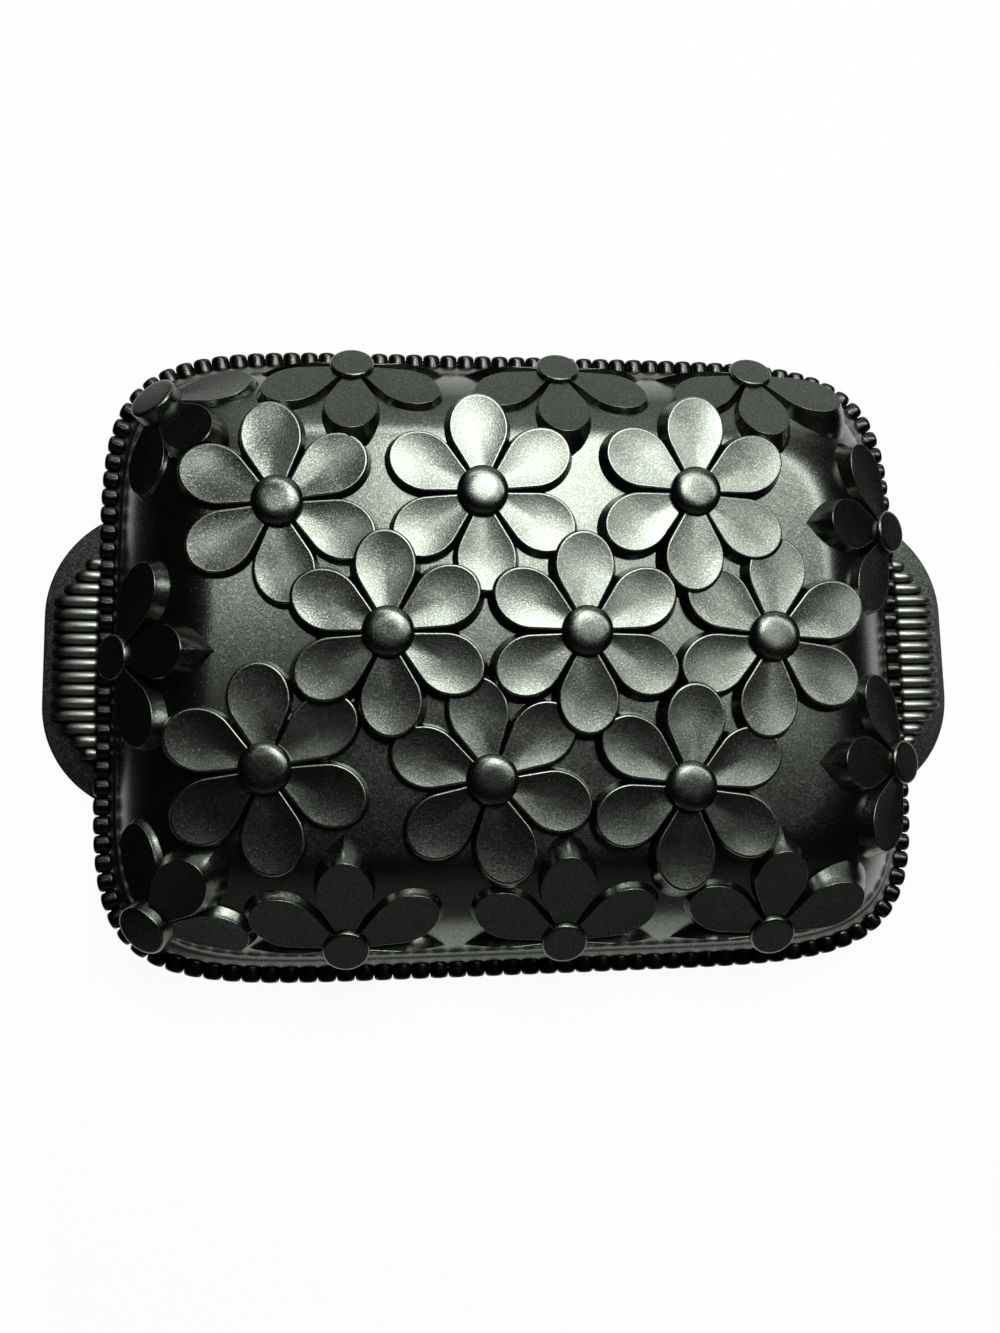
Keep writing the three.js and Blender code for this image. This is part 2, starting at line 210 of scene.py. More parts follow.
# Name, place in millimetres, turn in degrees, order and the lifted petal
TOP_DAISIES = (
    ("near_row_1", 53, -49.5, -6, 5, 0),
    ("near_row_2", -13, -46, 10.5, 8, None),
    ("near_row_3", -86, -41, 6, 9, None),
    ("middle_row_1", 19.5, 2.5, 0, 2, None),
    ("middle_row_2", -46.5, 2.5, 2, 1, None),
    ("middle_row_3", 84, 0.5, -6.5, 4, None),
    ("far_row_1", 58.5, 50.5, -3, 3, 3),
    ("far_row_2", -14.5, 50.5, 2.5, 6, None),
    ("far_row_3", -82.5, 46.5, 6, 7, None),
)
TOP_FLARE = 17
PLATE_FLARE = 29
GABLE_FLARE = 22
END_PLATE_FLARE = 21
# Level of the middle in millimetres, slope, flare of the uphill petal and of the others
WALL_LEAN = (30.4, 32, GABLE_FLARE, PLATE_FLARE)
LEFT_END_LEAN = (27.5, 40, 8, END_PLATE_FLARE)
RIGHT_END_LEAN = (30.4, 32, 13, END_PLATE_FLARE)
# Name, place in millimetres, the way it faces and how it leans
SIDE_DAISIES = (
    ("far_wall_1", -58.7, 101.1, 90, WALL_LEAN),
    ("far_wall_2", 15, 101.1, 90, WALL_LEAN),
    ("far_wall_3", 87.1, 101.1, 90, WALL_LEAN),
    ("near_wall_1", -61.2, -101.1, -90, WALL_LEAN),
    ("near_wall_2", 12, -101.1, -90, WALL_LEAN),
    ("near_wall_3", 84.9, -101.1, -90, WALL_LEAN),
    ("left_end_1", -139, -2.5, 180, LEFT_END_LEAN),
    ("right_end_1", 136.8, 41.7, 0, RIGHT_END_LEAN),
    ("right_end_2", 136.8, -42.7, 0, RIGHT_END_LEAN),
)
# Name, side, place in millimetres, and how far the petals along the wall and the end turn outwards
CORNER_DAISIES = (("far_corner", 1, 87.5, 13, 5), ("near_corner", -1, -92.5, 7, 6))
CORNER_X = -127 * mm
CORNER_HEIGHT = 29 * mm
CORNER_SLOPE = 33
CORNER_SIDE_SLOPE = 38
CORNER_BUTTON_SLOPE = 43
CORNER_CLIMB = math.radians(4)
UP = np.array((0.0, 0.0, 1.0))


def heading(degrees, climb=0):
    turn = math.radians(degrees)
    return np.array((math.cos(turn) * math.cos(climb), math.sin(turn) * math.cos(climb), math.sin(climb)))


def petal_frame(centre, along, out, rank, kind, flare):
    """A petal: its place and axes, its order over others, its kind, and how far its sides lean."""
    out = out - along * (out @ along)
    out = out / np.linalg.norm(out)
    axes = {"along": along, "across": np.cross(out, along), "out": out}
    return {"centre": centre, "rank": rank, "kind": kind, "flare": math.tan(math.radians(flare)), **axes}


def side_out(facing, slope):
    return heading(facing, math.radians(90 - slope))


def side_petal(centre, facing, slope, turn, rank, gable, plate):
    """A petal of a shoulder daisy, turned from the one that points uphill."""
    uphill = heading(facing + 180, math.radians(slope))
    out = side_out(facing, slope)
    along = uphill * math.cos(turn) + np.cross(out, uphill) * math.sin(turn)
    if turn:
        return petal_frame(centre, along, out, rank, "plate", plate)
    return petal_frame(centre, along, out, rank, "gable", gable)


def daisy_of(name, centre, out, boss, petals):
    """A daisy: its name, its middle, the way its boss faces, the boss's radius and the petals."""
    on_top = out is UP
    return {"name": name, "centre": centre, "out": out, "boss": boss, "on_top": on_top, "petals": petals}


daisies = []
for name, x, y, turn, order, lifted in TOP_DAISIES:
    petals = []
    for k in range(PETAL_COUNT):
        rank = 0 if k == lifted else order
        place = np.array((x * mm, y * mm, PETAL_LEVEL - LAYER_STEP * rank))
        along = heading(90 + turn + PETAL_TURN * k)
        petals.append(petal_frame(place, along, UP, rank, "spoon", TOP_FLARE))
    centre = np.array((x * mm, y * mm, PETAL_LEVEL - LAYER_STEP * order))
    daisies.append(daisy_of(name, centre, UP, DOME_RADIUS, petals))

for name, x, y, facing, (level, slope, gable, plate) in SIDE_DAISIES:
    centre = np.array((x * mm, y * mm, level * mm))
    petals = []
    for k in SIDE_PETALS:
        rank = UNDER_ALL + len(daisies) if k else OVER_ALL
        turn = math.radians(PETAL_TURN * k)
        petals.append(side_petal(centre, facing, slope, turn, rank, gable, plate))
    daisies.append(daisy_of(name, centre, side_out(facing, slope), BUTTON_RADIUS, petals))

for name, side, y, wall_splay, end_splay in CORNER_DAISIES:
    centre = np.array((CORNER_X, y * mm, CORNER_HEIGHT))
    rank = UNDER_ALL + len(daisies)
    diagonal = 135 * side
    along_wall = heading(wall_splay * side, CORNER_CLIMB)
    along_end = heading((-90 - end_splay) * side, CORNER_CLIMB)
    wall_out = side_out(90 * side, CORNER_SIDE_SLOPE)
    end_out = side_out(180, CORNER_SIDE_SLOPE)
    petals = [
        side_petal(centre, diagonal, CORNER_SLOPE, 0, rank, GABLE_FLARE, PLATE_FLARE),
        petal_frame(centre, along_wall, wall_out, rank, "plate", PLATE_FLARE),
        petal_frame(centre, along_end, end_out, rank, "plate", PLATE_FLARE),
    ]
    out = side_out(diagonal, CORNER_BUTTON_SLOPE)
    daisies.append(daisy_of(name, centre, out, CORNER_BUTTON_RADIUS, petals))
print("daisies:", len(daisies), "petals:", sum(len(daisy["petals"]) for daisy in daisies))

# %% [markdown]
# ## One petal
# On top, a petal is a shallow spoon: a dished face with a soft round rim, and sides that lean outwards,
# as a casting's must to leave its mould. On the shoulders it is a flatter plate, and the side of the
# uphill one runs out to a pointed ridge behind its tip. A sculpted mesh could give this, but rings
# that shrink towards the middle of the outline keep the rim even, and the lowest ring can be sunk to
# just under the pan's skin wherever the petal lies.

# %% Outline of a petal and its rings
HEART_SHARE = 0.97
PETAL_HEART = np.array((PETAL_WIDEST * HEART_SHARE, 0.0))
EDGE_STEPS = 45
FLANK_STEPS = 7
SINK = 1.2 * mm
DEEPEST = 24 * mm
ROOM_ABOVE = 12 * mm
LEAST_SIDE = 0.3 * mm
DISH_SHARES = (0.12, 0.25, 0.38, 0.5, 0.6, 0.7, 0.78, 0.84, 0.88)
SIDE_PARTS = (0.3, 0.65)
UNDERSIDE_SHARES = (0.8, 0.5, 0.2)
RIDGE = {"spoon": 0, "plate": 0, "gable": 1.8 * mm}
RIM_SHARE = 0.9
# The rim's section on a top petal: share of the outline and rise in millimetres
RIM = ((0.9, 0), (0.925, 0.04), (0.95, 0), (0.967, -0.1), (0.982, -0.32), (0.993, -0.6), (1, -0.96))
RIM_SIZE = {"spoon": 1, "plate": 0.45, "gable": 0.45}
DISH = {"spoon": 0.65 * mm, "plate": 0.2 * mm, "gable": 0.2 * mm}


def petal_edge(width):
    """Outline points of a petal along +X."""
    end = PETAL_REACH - PETAL_WIDEST
    turn = math.acos(-end / PETAL_WIDEST)
    angle = np.linspace(-turn, turn, EDGE_STEPS)
    arc = np.stack((PETAL_WIDEST + end * np.cos(angle), width / 2 * np.sin(angle)), 1)
    root = arc[-1] * PETAL_ROOT / arc[-1][0]
    flank = np.linspace(arc[-1], root, FLANK_STEPS)[1:]
    return np.concatenate((arc, flank, flank[::-1] * (1, -1)))


ARMS = {kind: petal_edge(width) - PETAL_HEART for kind, width in PETAL_WIDTH.items()}


def pointed(arm, ridge):
    """Arms of an outline whose tip is drawn out by ridge, along two straight lines that touch its sides."""
    apex = arm[:, 0].max() + ridge
    opening = np.arctan2(np.abs(arm[:, 1]), apex - arm[:, 0])
    turn = np.abs(np.arctan2(arm[:, 1], arm[:, 0]))
    touch = opening.argmax()
    straight = apex * math.sin(opening[touch]) / np.sin(turn + opening[touch])
    length = np.linalg.norm(arm, axis=1)
    return arm * np.where(turn < turn[touch], straight / length, 1)[:, None]


def petal_ring(petal, share, rise=0, spread=0, ridge=0):
    """One ring of a petal: the outline shrunk to a share, spread outwards and drawn out at the tip."""
    arm = ARMS[petal["kind"]]
    length = np.linalg.norm(arm, axis=1)
    arm = arm * (share + spread / length)[:, None]
    if ridge:
        arm = pointed(arm, ridge)
    u, v = (PETAL_HEART + arm).T
    rise = np.broadcast_to(rise, u.shape)
    return (petal["centre"] + u[:, None] * petal["along"] + v[:, None] * petal["across"]
            + rise[:, None] * petal["out"])


def depth_to_skin(points, out, sink):
    """How far each point has to go into the pan, against out, to lie just under its skin."""
    near = np.zeros(len(points))
    far = np.full(len(points), DEEPEST)
    for _ in range(18):
        middle = (near + far) / 2
        moved = points - out * middle[:, None]
        above = moved[:, 2] > body_height(moved[:, 0], moved[:, 1]) - sink
        near = np.where(above, middle, near)
        far = np.where(above, far, middle)
    return far


def petal_body(petal):
    dish = DISH[petal["kind"]]
    rim = RIM_SIZE[petal["kind"]]
    ridge = RIDGE[petal["kind"]]
    flare = petal["flare"]
    rings = []
    for share in DISH_SHARES:
        rings.append(petal_ring(petal, share, -dish * (1 - (share / RIM_SHARE) ** 2)))
    for share, rise in RIM:
        rings.append(petal_ring(petal, 1 - (1 - share) * rim, rise * rim * mm))
    edge_drop = -RIM[-1][1] * rim * mm
    depth = depth_to_skin(petal_ring(petal, 1), petal["out"], SINK)
    depth = np.maximum(depth, edge_drop + LEAST_SIDE)
    for part in SIDE_PARTS:
        down = edge_drop + (depth - edge_drop) * part
        rings.append(petal_ring(petal, 1, -down, flare * (down - edge_drop), ridge * part))
    underside = [petal_ring(petal, 1, 0, flare * (depth - edge_drop), ridge)]
    underside += [petal_ring(petal, share) for share in UNDERSIDE_SHARES]
    for level in underside:
        down = depth_to_skin(level, petal["out"], SINK)
        rings.append(level - petal["out"] * np.maximum(down, edge_drop + LEAST_SIDE)[:, None])
    return skin(rings)


def petal_cutter(petal, gap):
    """The space that a petal takes from whatever lies under it."""
    high = petal_ring(petal, 1, ROOM_ABOVE, gap)
    face = petal_ring(petal, 1, 0, gap)
    low = petal_ring(petal, 1, -DEEPEST, gap)
    return skin([high, face, low])


print("points on a petal ring:", len(ARMS["spoon"]))

# %% [markdown]
# ## The boss of a daisy
# The eye of a daisy on top is a round dome, and on the shoulders it is a flat button with a soft
# edge, a larger one at the corners. All are turned shapes, so their rings are circles about the
# flower's own axis, and they reach down to the pan's skin as the petals do.

# %% Domes and buttons
DOME_RISE = 4.6 * mm
DOME_FLATNESS = 3.6
BUTTON_RISE = 1.6 * mm
BUTTON_ROUND = 1.1 * mm
CIRCLE = np.linspace(0, 2 * math.pi, 48, endpoint=False)
# A direction that no boss faces
ASIDE = np.array((0.3, 0.9, 0.1))
BUTTON_SHARES = (0.15, 0.5, 0.8)
BOSS_FOOT_SHARES = (1, 0.7, 0.4, 0.15)


def boss_profile(radius, on_top):
    """Radius and rise of each ring, from the middle of the boss to its edge."""
    if on_top:
        shares = np.sin(np.linspace(0.06, math.pi / 2, 16))
        rises = DOME_RISE * (1 - shares ** DOME_FLATNESS) ** (1 / DOME_FLATNESS)
        return list(zip(radius * shares, rises))
    flat = [(radius * share, BUTTON_RISE) for share in BUTTON_SHARES]
    corner = radius - BUTTON_ROUND
    turns = np.linspace(0, math.pi / 2, 6)
    radii = corner + BUTTON_ROUND * np.sin(turns)
    rises = BUTTON_RISE - BUTTON_ROUND * (1 - np.cos(turns))
    return flat + list(zip(radii, rises))


def boss_ring(daisy, radius, rise):
    out = daisy["out"]
    side = np.cross(out, ASIDE)
    side = side / np.linalg.norm(side)
    other = np.cross(out, side)
    round_ = np.cos(CIRCLE)[:, None] * side + np.sin(CIRCLE)[:, None] * other
    return daisy["centre"] + round_ * radius + out * rise


def boss_body(daisy):
    profile = boss_profile(daisy["boss"], daisy["on_top"])
    rings = [boss_ring(daisy, radius, rise) for radius, rise in profile]
    for share in BOSS_FOOT_SHARES:
        level = boss_ring(daisy, profile[-1][0] * share, 0)
        rings.append(level - daisy["out"] * depth_to_skin(level, daisy["out"], SINK)[:, None])
    return skin(rings)


print("rings on a dome:", len(boss_profile(DOME_RADIUS, True)))

# %% [markdown]
# ## Cutting petals where they overlap
# A petal that lies under another one stops at its edge, with a thin dark crease between them. Letting
# the meshes run through each other would show the lower petal inside the upper one's dish, so each
# lower petal is cut with a Boolean modifier by the room that the upper ones take. The lower petals of
# the shoulder daisies are cut off above the beads in the same way.

# %% Make the daisies
CREASE = 0.35 * mm
PETAL_SETBACK = 6 * mm
OVER_BEADS = 9.1 * mm
# Where the painted highlight lies on a top petal's rim: its share of the outline, its width, and how far
# down the side it reaches.
RIM_HIGHLIGHT_SHARE = 0.95
RIM_HIGHLIGHT_WIDTH = 0.055
RIM_HIGHLIGHT_DEPTH = 0.6 * mm
NEARBY = 1.1
SAMPLE_SHARES = (0.3, 0.6, 0.8, 1)
ROOM_STEPS = 96
TOP_SHARP = 50
SIDE_SHARP = 34


def carve(body, tools, operation):
    """Cuts a closed body with others and gives back its points and faces."""
    workpiece = bpy.data.objects.new("workpiece", mesh_of("workpiece", [body]))
    bpy.context.scene.collection.objects.link(workpiece)
    helpers = []
    for tool in tools:
        helper = bpy.data.objects.new("cutter", mesh_of("cutter", [tool]))
        bpy.context.scene.collection.objects.link(helper)
        cut = workpiece.modifiers.new("cut", "BOOLEAN")
        cut.operation = operation
        cut.solver = "EXACT"
        cut.object = helper
        helpers.append(helper)
    evaluated = workpiece.evaluated_get(bpy.context.evaluated_depsgraph_get())
    mesh = bpy.data.meshes.new_from_object(evaluated)
    points = np.array([vertex.co[:] for vertex in mesh.vertices]).reshape(-1, 3)
    faces = [tuple(polygon.vertices) for polygon in mesh.polygons]
    bpy.data.meshes.remove(mesh)
    for used in [workpiece] + helpers:
        bpy.data.meshes.remove(used.data)
    return points, faces


def share_in_petal(points, petal):
    """Where points lie in a petal's outline: 0 in its heart, 1 on its edge, more outside."""
    away = points - petal["centre"]
    flat = np.stack((away @ petal["along"], away @ petal["across"]), -1) - PETAL_HEART
    arm = ARMS[petal["kind"]]
    angle = np.arctan2(arm[:, 1], arm[:, 0])
    order = np.argsort(angle)
    length = np.linalg.norm(arm, axis=1)
    turn = np.arctan2(flat[..., 1], flat[..., 0])
    reach = np.interp(turn, angle[order], length[order], period=2 * math.pi)
    return np.linalg.norm(flat, axis=-1) / reach


def lies_under(lower, upper):
    samples = np.concatenate([petal_ring(lower, share) for share in SAMPLE_SHARES])
    return share_in_petal(samples, upper).min() < NEARBY


def rim_painted_highlight(points, petal):
    """Painted highlight on a petal: 1 on the crest of its rim, nothing further in or down its sides."""
    level = (points - petal["centre"]) @ petal["out"]
    crest = np.clip(1 - np.abs(share_in_petal(points, petal) - RIM_HIGHLIGHT_SHARE) / RIM_HIGHLIGHT_WIDTH, 0, 1)
    return np.where(level > -RIM_HIGHLIGHT_DEPTH, crest, 0)


room_edge = oval(-PETAL_SETBACK, ROOM_STEPS)
room_levels = (OVER_BEADS, 2 * CROWN)
petal_room = skin([np.column_stack((room_edge, np.full(ROOM_STEPS, level))) for level in room_levels])
cuts = 0
for daisy in daisies:
    bodies = [boss_body(daisy)]
    wear = [np.zeros(len(bodies[0][0]))]
    others = [petal for other in daisies if other is not daisy for petal in other["petals"]]
    for petal in daisy["petals"]:
        body = petal_body(petal)
        covers = [other for other in others if other["rank"] < petal["rank"] and lies_under(petal, other)]
        if covers:
            body = carve(body, [petal_cutter(cover, CREASE) for cover in covers], "DIFFERENCE")
            cuts += len(covers)
        if oval_share(body[0][:, 0], body[0][:, 1], -PETAL_SETBACK).max() > 1:
            body = carve(body, [petal_room], "INTERSECT")
        if len(body[0]):
            bodies.append(body)
            # The rim of a top petal gets a painted highlight; bosses and shoulder petals get none.
            wear.append(rim_painted_highlight(body[0], petal) * daisy["on_top"])
    mesh = mesh_of("daisy_" + daisy["name"], bodies, wear)
    sharp = TOP_SHARP if daisy["on_top"] else SIDE_SHARP
    add_piece("daisy_" + daisy["name"], mesh, "flower_" + daisy["name"], sharp)
print("cuts where petals overlap:", cuts)

# %% [markdown]
# ## The body of the pan
# The body is a thin wall: over the flat top, down the round shoulders to a short sloped skirt above
# the beads, out along the flange and back up the inside. Seen from below, the daisies show again as
# shallow prints. Solidify could thicken one skin, but a single stack of rings, running from the middle
# of the top round the flange to the middle of the ceiling, leaves the inside free to take the prints.

# %% Make the body
AROUND = 384
EDGE_ROUND = 0.9 * mm
EDGE_TURNS = np.linspace(0, math.pi / 2, 5)
TOP_INSETS = (107, 92, 78, 64, 54, 47)
CEILING_INSETS = np.linspace(41.8, 107, 37)
OUTSIDE_RINGS = 30
INSIDE_RINGS = 34
PRINT = 2 * mm
PRINT_EDGE = 0.97
PRINT_SLOPE = 0.16
PRINT_SEARCH = 45 * mm
SKIRT = 3 * mm
SKIRT_TOP = FLANGE + 8 * mm
SKIRT_REACH = 2.1 * mm
SKIRT_PARTS = (0, 0.33, 0.67, 1)


def oval_ring(grow, level):
    return np.column_stack((oval(grow, AROUND), np.full(AROUND, level)))


def shoulder_rings(grow, count):
    """Rings from the foot of a shoulder up to the flat top, for a body grown or shrunk by grow."""
    rings = []
    for part in np.linspace(0, 1, count):
        share = math.cos(math.pi / 2 * part)
        level = shoulder_level(share)
        rings.append(oval_ring(grow - (SHOULDER + grow) * (1 - share), FLANGE + (RISE + grow) * level))
    return rings


def pressed_prints(rings):
    """The inside rings with the petals' prints pressed into them."""
    points = np.concatenate(rings)
    moved = points.copy()
    for daisy in daisies:
        for petal in daisy["petals"]:
            near = np.linalg.norm(points - petal["centre"], axis=1) < PRINT_SEARCH
            depth = np.clip((PRINT_EDGE - share_in_petal(points[near], petal)) / PRINT_SLOPE, 0, 1)
            depth = PRINT * depth * depth * (3 - 2 * depth)
            pressed = points[near] + petal["out"] * depth[:, None]
            further = (pressed - moved[near]) @ petal["out"] > 0
            moved[near] = np.where(further[:, None], pressed, moved[near])
    return list(moved.reshape(len(rings), AROUND, 3))


top = [oval_ring(-inset * mm, CROWN) for inset in TOP_INSETS]
outside = [ring for ring in shoulder_rings(0, OUTSIDE_RINGS)[::-1] if ring[0][2] > SKIRT_TOP]
for part in SKIRT_PARTS:
    outside.append(oval_ring(SKIRT_REACH - SKIRT * (1 - part), SKIRT_TOP - SKIRT * part))
outside.append(oval_ring(SKIRT_REACH, FLANGE))
edge = FLANGE_WIDTH - EDGE_ROUND
flange = []
mouth = []
for turn in EDGE_TURNS:
    flange.append(oval_ring(edge + EDGE_ROUND * math.sin(turn), FLANGE - EDGE_ROUND * (1 - math.cos(turn))))
for turn in EDGE_TURNS:
    flange.append(oval_ring(edge + EDGE_ROUND * math.cos(turn), EDGE_ROUND * (1 - math.sin(turn))))
for turn in EDGE_TURNS:
    mouth.append(oval_ring(-WALL + EDGE_ROUND * (1 - math.sin(turn)), EDGE_ROUND * (1 - math.cos(turn))))
inside = shoulder_rings(-WALL, INSIDE_RINGS)
ceiling = [oval_ring(-inset * mm, CROWN - WALL) for inset in CEILING_INSETS]
body_rings = top + outside + flange + mouth + pressed_prints(inside + ceiling)
add_piece("pan_body", mesh_of("pan_body", [skin(body_rings)]), "pan_shell")

# %% [markdown]
# ## Sockets that read as sums
# Shaders and Geometry Nodes are both graphs of nodes. To keep them readable, one small class wraps
# an output socket: adding or multiplying wrapped sockets adds the Math nodes, and one method adds any
# other node with its settings and its socket values.

# %% A wrapper for node sockets
class Wire:
    def __init__(self, tree, socket=None):
        self.tree = tree
        self.socket = socket

    def node(self, kind, settings=None, sockets=None, out=0):
        """Adds a node: its type, its settings, then the values or links of its sockets."""
        made = self.tree.nodes.new(kind)
        for key, value in (settings or {}).items():
            setattr(made, key, value)
        for key, value in (sockets or {}).items():
            for wire in value if isinstance(value, list) else [value]:
                if isinstance(wire, Wire):
                    self.tree.links.new(wire.socket, made.inputs[key])
                else:
                    made.inputs[key].default_value = wire
        return Wire(self.tree, made.outputs[out]) if made.outputs else made

    def maths(self, operation, first, second=0.0):
        return self.node("ShaderNodeMath", {"operation": operation}, {0: first, 1: second})

    def ramp(self, low, high):
        """0 below low, 1 above high and a smooth step between."""
        settings = {"interpolation_type": "SMOOTHSTEP"}
        return self.node("ShaderNodeMapRange", settings, {"Value": self, "From Min": low, "From Max": high})

    def __add__(self, other):
        return self.maths("ADD", self, other)

    __radd__ = __add__

    def __sub__(self, other):
        return self.maths("SUBTRACT", self, other)

    def __rsub__(self, other):
        return self.maths("SUBTRACT", other, self)

    def __mul__(self, other):
        return self.maths("MULTIPLY", self, other)

    __rmul__ = __mul__

    def __pow__(self, other):
        return self.maths("POWER", self, other)


print("wrapper ready")

# %% [markdown]
# ## The coat
# The aluminium is sprayed with a near-black non-stick coat that holds fine metal flecks, so it looks
# black where it mirrors something dark and grey to silver where it mirrors the light. A plain dark
# colour would miss that play, so the coat is metallic with a dark and slightly green grey of its own,
# a fine grain of flecks in colour and roughness, and a slight orange-peel bump. The crests of the ribs
# and the rims of the top petals are painted a lighter grey, a painted highlight. The ribs' grooves and
# outer ends and the beads are painted darker than the rest, a painted shade, and the handle tabs are
# rougher.

# %% Material of the coat
COAT_TINT = (1.0, 1.13, 0.95)
FLECK_COLOUR = (0.337, 0.362, 0.324, 1.0)


def coat_material(name, roughness, fleck_strength, tone, highlight_strength):
    """A coat with its roughness, how strongly flecks and the painted highlight show, and how light it is.
    """
    material = bpy.data.materials.new(name)
    material.use_nodes = True
    tree = material.node_tree
    tree.nodes.clear()
    desk = Wire(tree)
    place = desk.node("ShaderNodeTexCoord", out="Object")
    grain = desk.node("ShaderNodeTexNoise", None, {
        "Vector": place,
        "Scale": 1500.0,
        "Detail": 2.0,
        "Roughness": 0.7,
    })
    specks = desk.node("ShaderNodeTexNoise", None, {"Vector": place, "Scale": 2600.0, "Detail": 1.0})
    cloud = desk.node("ShaderNodeTexNoise", None, {"Vector": place, "Scale": 38.0, "Detail": 3.0})
    highlighted = desk.node("ShaderNodeAttribute", {"attribute_name": "wear"}, out="Fac")
    # The attribute read above is a painted highlight: a lighter grey on the rims of the top petals and on
    # the crests of the ribs.
    fleck = grain.ramp(0.42, 0.72) * fleck_strength + specks.ramp(0.6, 0.74) * fleck_strength + highlighted * highlight_strength
    tint = desk.node("ShaderNodeMix", {"data_type": "RGBA"}, {
        "Factor": fleck,
        6: (*(tone * part for part in COAT_TINT), 1.0),
        7: FLECK_COLOUR,
    }, out=2)
    shine = roughness + (cloud - 0.5) * 0.12 + (grain - 0.5) * 0.16
    bump = desk.node("ShaderNodeBump", None, {
        "Strength": 0.25,
        "Distance": 0.12 * mm,
        "Height": grain + cloud * 0.6,
    })
    surface = desk.node("ShaderNodeBsdfPrincipled", None, {
        "Base Color": tint,
        "Metallic": 1.0,
        "Roughness": shine,
        "Normal": bump,
    })
    desk.node("ShaderNodeOutputMaterial", None, {"Surface": surface})
    return material


coat = coat_material("flecked coat", roughness=0.245, fleck_strength=0.34, tone=0.094, highlight_strength=0.3)
# The beads get a darker coat than the rest of the casting, a painted shade.
shaded_bead_coat = coat_material("bead coat painted dark", roughness=0.24, fleck_strength=0.1, tone=0.042, highlight_strength=0.0)
# The ribs get a dark coat, a painted shade in their grooves and at their outer ends, lifted to a painted
# highlight on their crests.
painted_rib_coat = coat_material("rib coat with painted shade and highlight", roughness=0.38, fleck_strength=0.1, tone=0.035, highlight_strength=1.0)
tab_coat = coat_material("rough coat", roughness=0.46, fleck_strength=0.36, tone=0.036, highlight_strength=0.0)
print("coats:", [finish.name for finish in (coat, shaded_bead_coat, painted_rib_coat, tab_coat)])

# %% [markdown]
# ## The row of beads
# A hundred and forty-six half-round beads run round the rim without a break. Each one is a short
# rounded bar that points outwards. That is a shape repeated along a path, so Geometry Nodes set one
# bead at even steps along the outline, turn it to face outwards and thread them all on a low round
# cord, which closes the gaps between them.

# %% Geometry Nodes for the beads
BEAD_INPUTS = (
    ("Bead count", "NodeSocketInt", 146),
    ("Bead length", "NodeSocketFloat", 6.3 * mm),
    ("Bead half width", "NodeSocketFloat", 3.25 * mm),
    ("Bead height", "NodeSocketFloat", 5.1 * mm),
    ("Cord radius", "NodeSocketFloat", 1.9 * mm),
    ("Coat", "NodeSocketMaterial", shaded_bead_coat),
)
BEAD_INNER_PART = 0.54
BEAD_PATH = 4.5 * mm
BEAD_LEVEL = FLANGE + 0.2 * mm
PATH_STEPS = 584


def new_tree(name, inputs):
    """An empty Geometry Nodes tree with named inputs, and the wires that come from them."""
    tree = bpy.data.node_groups.new(name, "GeometryNodeTree")
    tree.interface.new_socket("Geometry", in_out="INPUT", socket_type="NodeSocketGeometry")
    for title, kind, _ in inputs:
        tree.interface.new_socket(title, in_out="INPUT", socket_type=kind)
    tree.interface.new_socket("Geometry", in_out="OUTPUT", socket_type="NodeSocketGeometry")
    given = tree.nodes.new("NodeGroupInput")
    return Wire(tree), {socket.name: Wire(tree, socket) for socket in given.outputs if socket.name}


def grown_mesh(tree, inputs, data):
    """Runs a tree on some data and gives back the plain mesh that it makes."""
    carrier = bpy.data.objects.new("carrier", data)
    bpy.context.scene.collection.objects.link(carrier)
    modifier = carrier.modifiers.new("grow", "NODES")
    modifier.node_group = tree
    names = {item.name: item.identifier for item in tree.interface.items_tree if item.in_out == "INPUT"}
    for title, _, value in inputs:
        modifier[names[title]] = value
    evaluated = carrier.evaluated_get(bpy.context.evaluated_depsgraph_get())
    mesh = bpy.data.meshes.new_from_object(evaluated)
    carrier.modifiers.remove(modifier)
    bpy.data.objects.remove(carrier)
    return mesh


def rounded_bar(desk, inner, blunt, fill):
    """A bar along +X from 0 to 1, flat below, straight as far as inner and then falling to its outer end.

    blunt keeps its end full, and fill squares its section.
    """
    ball = desk.node("GeometryNodeMeshUVSphere", None, {"Segments": 14, "Rings": 10, "Radius": 1.0})
    laid = desk.node("GeometryNodeTransform", None, {"Geometry": ball, "Rotation": (0, math.pi / 2, 0)})
    at = desk.node("GeometryNodeInputPosition")
    x = desk.node("ShaderNodeSeparateXYZ", None, {0: at})
    y = Wire(desk.tree, x.socket.node.outputs["Y"])
    z = Wire(desk.tree, x.socket.node.outputs["Z"])
    ahead = desk.maths("MAXIMUM", x, 0.0)
    behind = desk.maths("MAXIMUM", 0.0 - x, 0.0) ** 0.25
    long = inner + ahead * (1 - inner) - behind * inner
    girth = desk.maths("MAXIMUM", y * y + z * z, 0.0001)
    thick = girth ** (-blunt / 2)
    above = desk.maths("GREATER_THAN", z, 0.001)
    high = above * (girth ** ((1 - blunt) / 2) * fill + z * thick * (1 - fill) + 0.05) - 0.05
    shape = desk.node("ShaderNodeCombineXYZ", None, {0: long, 1: y * thick, 2: high})
    return desk.node("GeometryNodeSetPosition", None, {"Geometry": laid, "Position": shape})


def finish_tree(desk, geometry, coat_wire):
    whole = desk.node("GeometryNodeRealizeInstances", None, {"Geometry": geometry})
    smooth = desk.node("GeometryNodeSetShadeSmooth", None, {"Geometry": whole})
    coated = desk.node("GeometryNodeSetMaterial", None, {"Geometry": smooth, "Material": coat_wire})
    desk.node("NodeGroupOutput", None, {"Geometry": coated})


